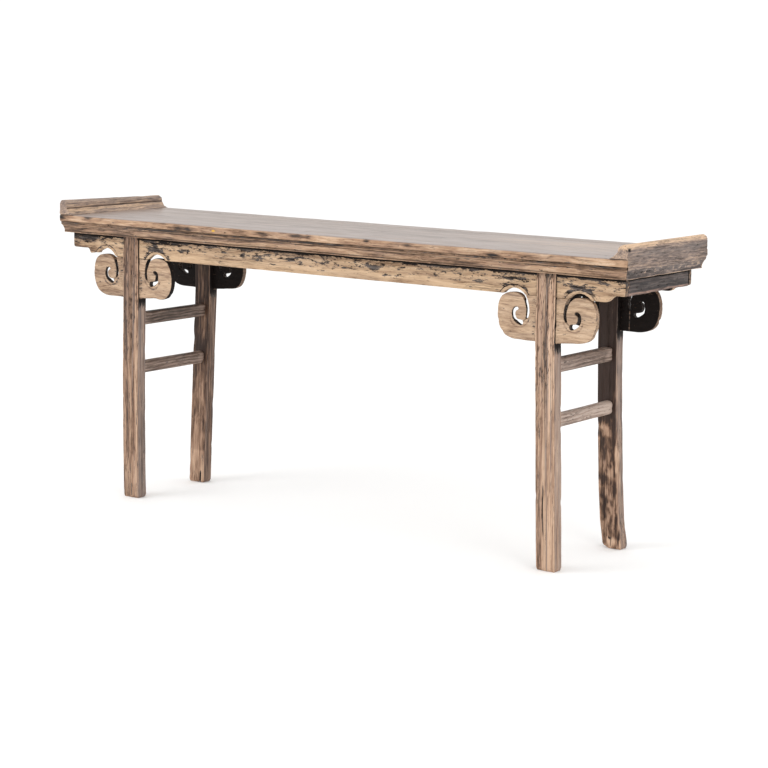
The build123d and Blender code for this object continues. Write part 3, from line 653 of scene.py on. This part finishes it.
# A short dark slit, and three paler patches of the polish.
PANEL_SLIT = (-776, -132, 860, 9, 3, 4, 1.0)
PANEL_PALE = ((498, 55, 860, 60, 12, 9, 1.6), (546, 60, 860, 180, 40, 9, 0.7),
              (780, 0, 860, 260, 160, 9, 1.1))
panel_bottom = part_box("top_panel")[0].z
panel_x = half_length - end_rail_width - PANEL_GAP
panel_y = half_depth - long_rail_width - PANEL_GAP
across = np.concatenate([
    divide([(-panel_y, table_top), (panel_y, table_top)], ACROSS_STEP),
    divide([(panel_y, table_top), (panel_y, panel_bottom), (-panel_y, panel_bottom),
            (-panel_y, table_top)], UNDERNEATH_STEP)[1:-1]])
stations = np.linspace(-panel_x, panel_x, round(2 * panel_x / PANEL_STEP) + 1)
rings = np.empty((len(stations), len(across), 3))
rings[..., 0] = stations[:, None]
rings[..., 1:] = across
piece = skin("top_panel_wood", rings)
points, _ = age(piece, 21, "X", wave=0.35 * MM, ridges=0.12 * MM, rubbing=0)
slit = spots(points, PANEL_SLIT)
# Painted sheen: the front of the panel is painted a paler grey, as the white studio reflects in
# it.
write(piece, lacquer=0.3 + 0.4 * slit, hollow=rise(slit, 0.4, 0.7),
      ash=0.9 * rise(-points[:, 1], 0.0, 0.13), tone=spots(points, *PANEL_PALE))
fit(piece, "top_panel", "top_wood", top_wood)

# -------------------------------------------- battens and pegs
# Three sawn battens slide into the panel's dovetail ways, and four pegs pin the mitres.  They
# are hidden under the top, plain wood darkened by age.
HIDDEN_SHADES = ((0.05, 0.035, 0.026), (0.12, 0.08, 0.055), (0.22, 0.15, 0.10),
                 (0.31, 0.215, 0.145), (0.38, 0.27, 0.19))
hidden_wood = old_wood("hidden_wood", "Y", HIDDEN_SHADES, bloom=0.3)
for node in ("left_batten", "middle_batten", "right_batten", "mitre_pegs"):
    frame["nodes"][node].data.materials.clear()
    frame["nodes"][node].data.materials.append(hidden_wood)

# -------------------------------------------- aprons
# Long boards under the top, front and back, with an arch over each scroll and a stepped lobe at
# each end.  A line is incised over each arch.  Their black lacquer has worn off the outer face,
# except in the lines and in flecks.  Along the top runs a near-black band: painted shadow under
# the top, with lacquer left in it.
APRON_SHADES = ((0.128, 0.068, 0.036), (0.32, 0.2, 0.115), (0.46, 0.308, 0.188),
                (0.54, 0.368, 0.226), (0.615, 0.438, 0.28))
# Flecks of lacquer on the face, as x, z, reach along X and Z, in mm, and a weight.
APRON_FLECKS = ((-941, 793, 22, 7, 0.12), (-890, 790, 30, 7, 0.14), (-842, 787, 18, 6, 0.12),
                (-640, 777, 34, 6, 0.15), (-597, 792, 60, 5, 0.12), (-520, 773, 26, 9, 0.13),
                (-384, 762, 14, 7, 0.13), (-298, 776, 12, 12, 0.14), (-242, 775, 20, 9, 0.12),
                (-125, 777, 40, 10, 0.11), (-18, 773, 32, 11, 0.13), (70, 771, 40, 9, 0.12),
                (156, 775, 26, 11, 0.14), (190, 768, 26, 10, 0.12), (259, 762, 34, 8, 0.11),
                (382, 770, 26, 10, 0.12), (470, 774, 30, 7, 0.1), (521, 767, 16, 6, 0.13),
                (647, 780, 30, 6, 0.1), (816, 775, 46, 5, 0.16), (879, 771, 26, 5, 0.13),
                (925, 772, 22, 8, 0.12))
# The stain that follows each arch: its middle along X, in mm, and a weight.
ARCH_STAINS = ((-831.5, 0.06), (-629.5, 0.2), (629.5, 0.2), (831.5, 0.22))
ARCH_DROP, STAIN_RADIUS = 28 * MM, 58 * MM
WORN_LOBE = (846 * MM, 866 * MM, 884 * MM, 902 * MM)       # left of the middle
apron_low, apron_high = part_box("front_apron")
apron_bottom = apron_low.z
board_face, board_back = -apron_low.y, -apron_high.y
apron_wood = old_wood("apron_wood", "X", APRON_SHADES, bloom=0.12, soil=0.9, cracks=0.5,
                      heart=(0, 0.02, -0.7))
for node, side in (("front_apron", -1), ("back_apron", 1)):
    piece = resurfaced(node, 1.9 * MM)
    points, normals = read(piece.data, "co"), read(piece.data, "normal")
    behind = board_face - side * points[:, 1]
    line = (rise(behind, 0.25 * MM, 0.8 * MM) * (behind < 2 * MM)
            * rise(side * normals[:, 1], 0.5, 0.8))
    points, normals = age(piece, 31 + side, "X", wave=0.8 * MM, fill=0.5 * MM, nicks=60,
                          bites=0.8 * MM, carve=1.0 * MM * line)
    x, fallen = points[:, 0], underside - points[:, 2]
    outer = rise(side * normals[:, 1], 0.1, 0.5)
    inner = rise(-side * normals[:, 1], 0.1, 0.5)
    ends = rise(np.abs(normals[:, 0]), 0.5, 0.9) * (np.abs(x) > half_length - 40 * MM)
    # Painted shadow with lacquer: the top few mm, under the top, are painted near black.
    residue_and_shadow = 0.38 + 0.6 * near(fallen, 0, 6.5 * MM) + 0.04 * cloud(points, 0.2, 36)
    residue_and_shadow += 0.09 * fall(fallen, 20 * MM, 34 * MM) - 0.06 * rise(fallen, 40 * MM, 55 * MM)
    residue_and_shadow += 1.3 * stains(points, side * board_face, APRON_FLECKS)
    for middle, weight in ARCH_STAINS:
        away = np.hypot(x - middle * MM, points[:, 2] - apron_bottom + ARCH_DROP)
        residue_and_shadow += weight * near(away, STAIN_RADIUS, 5.5 * MM)
    if side < 0:
        worn = between(-x, *WORN_LOBE) * fall(points[:, 2], apron_bottom, apron_bottom + 26 * MM)
        points[:, 2] += 6.5 * MM * worn
        piece.data.vertices.foreach_set("co", points.ravel())
    write(piece, hollow=0.8 * line,
          lacquer=(residue_and_shadow + 0.3 * line) * outer + 0.75 * inner + 0.35 * (1 - outer - inner)
          + 0.25 * ends,
          tone=0.2 * outer - 1.2 * ends - 1.2 * outer * rise(-x, 855 * MM, 885 * MM))
    fit(piece, node, "apron_wood", apron_wood)

# -------------------------------------------- end aprons
# Short boards between the ends of the long aprons, still black with lacquer and soot, brown
# along the lower edge where hands have rubbed them.
END_BOARD_SHADES = ((0.024, 0.018, 0.018), (0.046, 0.035, 0.032), (0.10, 0.07, 0.062),
                    (0.27, 0.165, 0.125), (0.41, 0.25, 0.18))
end_board_wood = old_wood("end_board_wood", "Y", END_BOARD_SHADES, grey=(0.125, 0.098, 0.088),
                          bloom=0.4, heart=(-0.93, 0, -0.6))
for node, side in (("left_end_apron", -1), ("right_end_apron", 1)):
    piece = resurfaced(node, 2.2 * MM)
    points, _ = age(piece, 41 + side, "Y", wave=0.8 * MM, fill=0.3 * MM, nicks=20)
    above = points[:, 2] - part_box(node)[0].z
    # Painted shadow: a near-black line along the top, under the end rail.
    shadow_line = rise(points[:, 2], underside - 8 * MM, underside - 3 * MM)
    scrape = near(above, 27 * MM, 2 * MM) * rise(cloud(points, 0.03, 46), -0.3, 0.2)
    write(piece, lacquer=0.33 + 0.09 * rise(above, 4 * MM, 14 * MM) + 0.5 * shadow_line, ash=scrape,
          tone=2.0 * fall(above, 4 * MM, 10 * MM) - 1.1)
    fit(piece, node, "end_board_wood", end_board_wood)

# -------------------------------------------- spandrels
# A board under the apron at each leg, sawn into a cloud scroll on both sides of it, and incised
# round each eye.  The outer faces are bare tan wood; slots and inner faces keep black lacquer.
SCROLL_SHADES = ((0.15, 0.085, 0.05), (0.34, 0.22, 0.138), (0.52, 0.36, 0.235),
                 (0.60, 0.437, 0.295), (0.68, 0.53, 0.385))
LEG_LINE = 730.5 * MM
SCROLL_REACH, SCROLL_RADIUS = 84 * MM, 70 * MM
SLOT_RADIUS, EYE_RADIUS = 0.62 * SCROLL_RADIUS, 0.31 * SCROLL_RADIUS
# The incised line round each eye, and the soft shadow outside it: angle from level, outwards
# from the leg, and radius as a share of the scroll's.
SCROLL_LINE = ((196, 0.36), (225, 0.335), (250, 0.33))
SCROLL_SHADOW = ((200, 0.47), (235, 0.50), (270, 0.52), (300, 0.50), (335, 0.44))
# How dull the scrolls to the left and to the right of each leg have become.
SCROLL_DULLNESS = {"front_left": (0.85, 0.55), "front_right": (0.6, 0.35),
                   "back_left": (0.55, 0.55), "back_right": (0.35, 0.35)}
SEAM_LINE = 790.5 * MM        # where two boards of the back right spandrel meet
spandrel_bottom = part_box("front_right_spandrel")[0].z
scroll_wood = old_wood("scroll_wood", "X", SCROLL_SHADES, bloom=0.15, soil=0.9, cracks=0.35,
                       heart=(0, 0.02, -0.66), contrast=0.85, size=0.75, flame=0.06)


def near_line(turn, radius, line, width):
    """1 on a line round a scroll's eye, and 0 away from it."""
    angles, ratios = np.array(line).T
    turn = turn % 360
    ends = between(turn, angles[0] - 4, angles[0] + 4, angles[-1] - 4, angles[-1] + 4)
    return ends * near(radius, np.interp(turn, angles, ratios) * SCROLL_RADIUS, width)


def bevel(points, out, side, up):
    """How far the slots of the scroll left of a leg are widened behind the face, towards -X."""
    behind = rise(board_face - side * points[:, 1], 5 * MM, board_face - board_back)
    slot = (between(-out, 56 * MM, 61 * MM, 82 * MM, 96 * MM)
            * between(up, -22 * MM, -8 * MM, 30 * MM, 46 * MM))
    eye = (between(-out, 97 * MM, 103 * MM, 108 * MM, 135 * MM)
           * between(up, -28 * MM, -14 * MM, 14 * MM, 26 * MM))
    return 6 * MM * behind * (slot + eye)


for seed, (row, side) in enumerate((("front", -1), ("back", 1))):
    for end, hand in (("left", -1), ("right", 1)):
        board = f"{row}_{end}"
        node = f"{board}_spandrel"
        piece = resurfaced(node, 1.5 * MM)
        points, normals = read(piece.data, "co"), read(piece.data, "normal")
        out = points[:, 0] - hand * LEG_LINE
        u, v = np.abs(out) - SCROLL_REACH, points[:, 2] - (spandrel_bottom + SCROLL_RADIUS)
        turn, radius = np.degrees(np.arctan2(v, u)), np.hypot(u, v)
        facing = side * normals[:, 1]
        faced = rise(facing, 0.4, 0.8)
        line = faced * near_line(turn, radius, SCROLL_LINE, 1.6 * MM)
        shadow = faced * near_line(turn, radius, SCROLL_SHADOW, 2.6 * MM)
        tight = fall(np.abs(facing), 0.3, 0.7) * (radius < EYE_RADIUS) * (side > 0)
        points[:, 0] -= bevel(points, out, side, v)
        piece.data.vertices.foreach_set("co", points.ravel())
        piece.data.update()
        points, _ = age(piece, 51 + 4 * seed + hand, "X", wave=0.9 * MM, fill=0.6 * MM,
                        nicks=40, bites=1.0 * MM,
                        carve=1.2 * MM * line + 0.7 * MM * shadow - 1.6 * MM * tight)
        inner = rise(-facing, 0.2, 0.5)
        wall = fall(np.abs(facing), 0.5, 0.9)
        slot, rim = wall * (radius < SLOT_RADIUS), wall * (radius > SLOT_RADIUS)
        seam = near(points[:, 0], SEAM_LINE, 1.2 * MM) * (board == "back_right")
        residue_and_shadow = (0.33 + 0.1 * near(np.abs(out), 38 * MM, 6 * MM) + 0.12 * shadow + 0.16 * line
                   + (0.1 + 0.35 * (board == "front_left") * (out > 0)) * rim
                   + 0.05 * cloud(points, 0.05, 56 + seed) + 0.03 * (end == "left"))
        write(piece, lacquer=residue_and_shadow * (1 - inner) + (0.8 - 0.4 * seam) * inner + 0.25 * slot,
              hollow=np.maximum(0.7 * line, 0.8 * slot),
              tone=0.1 - np.where(out < 0, *SCROLL_DULLNESS[board]) - 0.6 * shadow
              - 1.4 * slot - (0.5 if row == "front" else 1.2) * rim - (2.8 - 2.3 * seam) * inner)
        fit(piece, node, "scroll_wood", scroll_wood)

# -------------------------------------------- legs
# Four posts of old softwood, reeded down the outer face, slotted over the apron and spandrel.
# They lean a little, and their feet are rounded and chipped from being dragged about.
LEG_WIDTH, LEG_DEPTH, LEG_FACE = 59 * MM, 36.5 * MM, 187 * MM
BEAD, REED, REED_DEPTH, HOLLOW = 6 * MM, 5 * MM, 1.2 * MM, 2.5 * MM
HOUSING, SLOT_ROOM = 4 * MM, 0.3 * MM
LEG_STEP = 4 * MM
LEFT_BOW, RIGHT_KICK = 3.5 * MM, 5 * MM
FOOT_TUCK, FOOT_CHIPS, FOOT_BITE = 2.5 * MM, 2.5 * MM, 7 * MM
LEG_SHADES = ((0.03, 0.012, 0.006), (0.165, 0.088, 0.051), (0.36, 0.22, 0.144),
              (0.52, 0.34, 0.228), (0.63, 0.435, 0.305))
leg_wood = old_wood("leg_wood", "Z", LEG_SHADES, grey=(0.27, 0.22, 0.198), bloom=0.02,
                    flame=0.06, cracks=0.7, length=3.5, heart=(-0.735, 0, 0), size=0.75,
                    contrast=1.15)


def leg_section():
    """Section of a leg: across from its middle line, and depth behind its face."""
    half = LEG_WIDTH / 2
    face = np.concatenate([
        bend((half, REED_DEPTH), (half - BEAD / 2, 0), (half - BEAD, REED_DEPTH)),
        bend((half - BEAD, REED_DEPTH), ((half - BEAD + REED) / 2, HOLLOW), (REED, REED_DEPTH),
             rounds=13)[1:],
        bend((REED, REED_DEPTH), (REED / 2, 0), (0, REED_DEPTH))[1:]])
    back = divide([(half, REED_DEPTH), (half, LEG_DEPTH), (-half, LEG_DEPTH),
                   (-half, REED_DEPTH)], 1.5 * MM)
    return np.concatenate([face * (-1, 1), face[::-1][1:], back[1:-1]])


def cut_box(piece, low, high):
    """Takes a box out of a piece."""
    corners = [(x, y, z) for x in (low[0], high[0]) for y in (low[1], high[1])
               for z in (low[2], high[2])]
    mesh = bpy.data.meshes.new("cut")
    mesh.from_pydata(corners, [], [(0, 1, 3, 2), (4, 6, 7, 5), (0, 4, 5, 1), (2, 3, 7, 6),
                                   (0, 2, 6, 4), (1, 5, 7, 3)])
    if signed_volume(mesh) < 0:
        mesh.flip_normals()
    tool = bpy.data.objects.new("cut", mesh)
    bpy.context.scene.collection.objects.link(tool)
    cut = piece.modifiers.new("cut", "BOOLEAN")
    cut.operation, cut.object, cut.solver = "DIFFERENCE", tool, "EXACT"
    shape(piece)
    bpy.data.objects.remove(tool)


across, depth = leg_section().T
heights = divide([(0, 0), (underside, 0)], LEG_STEP)[:, 0]
feet = {mount["name"]: mount["pos_m"] for mount in frame["record"]["mounts"]}

# On a leg, u runs across from its middle line, d back from its face, and z up from the floor.
u, d = np.tile(across, len(heights)), np.tile(depth, len(heights))
z = np.repeat(heights, len(across))
grain_lines = np.stack([u, d, z], 1)
on_face = d < HOLLOW + 0.1 * MM
crease = on_face * (near(np.abs(u), REED, 1.2 * MM) + near(u, 0, 1.0 * MM)
                    + near(np.abs(u), LEG_WIDTH / 2 - BEAD, 1.2 * MM))
crease *= 0.4 + 0.6 * rise(z, 0.3, 0.55)


def leg_rings(leg, side, hand):
    """Sections of a leg, which leans from under its spandrel down.  Two legs are bent besides."""
    foot_x, foot_y, _ = feet[f"{leg}_foot"]
    share = np.clip(1 - heights / spandrel_bottom, 0, None)[:, None]
    bow = share ** 2 if leg == "back_right" else share
    rings = np.empty((len(heights), len(across), 3))
    rings[..., 0] = hand * LEG_LINE + bow * (foot_x - hand * LEG_LINE) + across
    if leg == "front_left":
        rings[..., 0] -= LEFT_BOW * np.sin(math.pi * share)
    if leg == "back_right":
        rings[..., 0] += RIGHT_KICK * fall(heights, 10 * MM, 90 * MM)[:, None]
    rings[..., 1] = (side * (LEG_FACE - depth)
                     + share * (foot_y - side * (LEG_FACE - LEG_DEPTH / 2)))
    rings[..., 2] = heights[:, None]
    return rings


def drying_split(leg):
    """1 in the split up from the foot of two of the legs, and 0 away from it."""
    if leg == "front_right":
        wander = 4 * MM * cloud(np.stack([0 * z, 0 * z, z], 1), 0.08, 91)
        return (0.8 * on_face * near(u, wander - 9 * MM, 1.8 * MM)
                * between(z, 0.08, 0.11, 0.21, 0.25))
    if leg == "back_left":
        return ~on_face * near(u, 15 * MM, 2.6 * MM) * fall(z, 0.03, 0.04)
    return np.zeros(len(z))


def wear_foot(points, leg, seed):
    """Tucks in and chips the foot of a leg, and breaks one corner off the back right one."""
    tuck = FOOT_TUCK * fall(points[:, 2], 0, 14 * MM) ** 2
    middle = points.reshape(len(heights), -1, 3).mean(1).repeat(len(across), 0)
    points[:, :2] += (middle - points)[:, :2] / (LEG_WIDTH / 2) * tuck[:, None]
    points[:, 2] += (FOOT_CHIPS * (0.5 + 0.5 * cloud(points, 0.03, seed))
                     * fall(points[:, 2], 0, 6 * MM))
    if leg == "back_right":
        points[:, 2] += FOOT_BITE * rise(-u, 8 * MM, 30 * MM) * fall(z, 0, 22 * MM)


def front_leg_marks(end, flank, mottle, strands):
    """Tone, lacquer and ash of a front leg: pale on its reeds, flecked above, rubbed below."""
    lower = fall(z, 0.4, 0.5)
    reeds = np.exp(-(np.abs(u) / (5.5 * MM)) ** 4)
    dim = on_face * rise(-u, 5 * MM, 11 * MM) * (1 - 0.7 * lower)
    flecks = rise(cloud(grain_lines, (0.003, 0.003, 0.014), 111), 0.2, 0.5)
    tone = (0.35 - 0.3 * flank - 0.5 * dim + 0.2 * mottle + (1.7 - 0.9 * lower) * strands
            + on_face * (0.4 * reeds - 0.1 + (0.25 - 1.8 * flecks) * (1 - 0.8 * lower)))
    if end == "left":
        tone += 0.7 * on_face * rise(u, 17 * MM, 22 * MM) * lower - 0.5
    lacquer = (0.34 + 0.04 * on_face * rise(z, 0.3, 0.6)
               + 0.15 * rise(z, underside - 25 * MM, underside))
    ash = ((0.5 if end == "left" else 0.8) * rise(-strands, 0.1, 0.45) * on_face
           + 0.15 * dim + 0.6 * flank)
    return tone, lacquer, ash


def back_leg_marks(end, points, normals, mottle, strands):
    """Tone, lacquer and ash of a back leg: dark finish and painted shade in front, scrubbed or
    worn at the foot.
    """
    ahead, outward = rise(-normals[:, 1], 0.2, 0.7), rise(normals[:, 0], 0.3, 0.7)
    # Painted shade with the dark finish: back legs are darker all over, and more so up their
    # front, under the table.
    dark = rise(z, 0.3, 0.46) * ahead
    tone = 0.3 * strands - 0.7
    if end == "left":
        tone += ((0.6 - 0.4 * outward) * mottle - 0.9 * dark - 0.2 * outward
                 + 0.6 * ahead * fall(z, 102 * MM, 105 * MM))
        return tone, 0.33 - 0.1 * dark, 0.2 * outward
    burl = 2 * rise(cloud(points, (0.009, 0.009, 0.022), 107, octaves=5), -0.25, 0.25) - 1
    worn = ahead * fall(z, 22 * MM, 36 * MM) * rise(u, -18 * MM, -8 * MM)
    knot = ahead * near(u, -4 * MM, 6 * MM) * near(z, 31 * MM, 6 * MM)
    tone += ((1.5 - 0.4 * outward) * mottle - 2.2 * dark + 0.5 * outward + 1.1 * worn
             + 0.5 * burl * (1 - outward))
    return tone, 0.33 - 0.1 * dark + 0.4 * knot, 0.55 * outward


for seed, (row, side) in enumerate((("front", -1), ("back", 1))):
    for end, hand in (("left", -1), ("right", 1)):
        leg = f"{row}_{end}"
        node = f"{leg}_leg"
        piece = skin(f"{node}_wood", leg_rings(leg, side, hand))
        split = drying_split(leg)
        points, normals = age(piece, 61 + 4 * seed + hand, "Z", wave=1.0 * MM, fill=1.1 * MM,
                              ridges=(0.3 if row == "front" else 0.1) * MM, rubbing=2,
                              nicks=24, bites=0.5 * MM,
                              carve=4 * MM * split + 0.8 * MM * crease)
        wear_foot(points, leg, 95 + seed + hand)
        piece.data.vertices.foreach_set("co", points.ravel())
        hollow = 0.9 * crease + split
        flank = ~on_face * rise(np.abs(normals[:, 0]), 0.5, 0.8)
        mottle = cloud(points, (0.016, 0.016, 0.034), 97 + 2 * seed + hand, octaves=4)
        strands = cloud(grain_lines, (0.0045, 0.0045, 0.5), 101 + 2 * seed + hand)
        if row == "front":
            hollow += (0.7 * on_face * rise(np.abs(u), LEG_WIDTH / 2 - 2 * MM, LEG_WIDTH / 2)
                       * rise(cloud(grain_lines, (0.02, 0.02, 0.06), 89), -0.5, 0.1))
            tone, residue_and_shadow, ash = front_leg_marks(end, flank, mottle, strands)
        else:
            tone, residue_and_shadow, ash = back_leg_marks(end, points, normals, mottle, strands)
        # Painted shadow with black residue: the leg's sides are painted dark from just under the
        # spandrel up.
        residue_and_shadow = residue_and_shadow + 0.45 * flank * rise(z, 0.575, 0.615) + 0.5 * split
        write(piece, hollow=hollow.clip(0, 1), tone=tone, lacquer=residue_and_shadow, ash=ash)
        slot = sorted((side * (board_face - HOUSING + SLOT_ROOM),
                       side * (board_back + HOUSING - SLOT_ROOM)))
        cut_box(piece, (hand * LEG_LINE - LEG_WIDTH, slot[0], spandrel_bottom - SLOT_ROOM),
                (hand * LEG_LINE + LEG_WIDTH, slot[1], underside + 10 * MM))
        fit(piece, node, "leg_wood", leg_wood)

# -------------------------------------------- stretchers
# Bars between the front and the back leg at each end: the upper one squarish, the lower one
# rounded like a rung by feet.  Blind tenons hold them.
STRETCHER_SHADES = ((0.02, 0.012, 0.009), (0.07, 0.042, 0.028), (0.173, 0.115, 0.085),
                    (0.30, 0.21, 0.165), (0.47, 0.364, 0.30))
stretcher_wood = old_wood("stretcher_wood", "Y", STRETCHER_SHADES, grey=(0.25, 0.205, 0.18),
                          bloom=0.15, gloss=(0.7, 0.5), contrast=0.8,
                          heart=(-0.735, 0, -0.5))
STRETCHER_TONE = {"left_upper": -0.5, "left_lower": 0.0, "right_upper": 0.3,
                  "right_lower": 1.2}
for seed, (name, shift) in enumerate(STRETCHER_TONE.items()):
    node = f"{name}_stretcher"
    piece = resurfaced(node, 1.6 * MM)
    points, _ = age(piece, 71 + seed, "Y", wave=0.8 * MM, fill=0.5 * MM, nicks=12)
    by_joint = rise(np.abs(points[:, 1]), 100 * MM, 135 * MM)
    write(piece, lacquer=0.36, tone=shift + 0.6 * by_joint)
    fit(piece, node, "stretcher_wood", stretcher_wood)
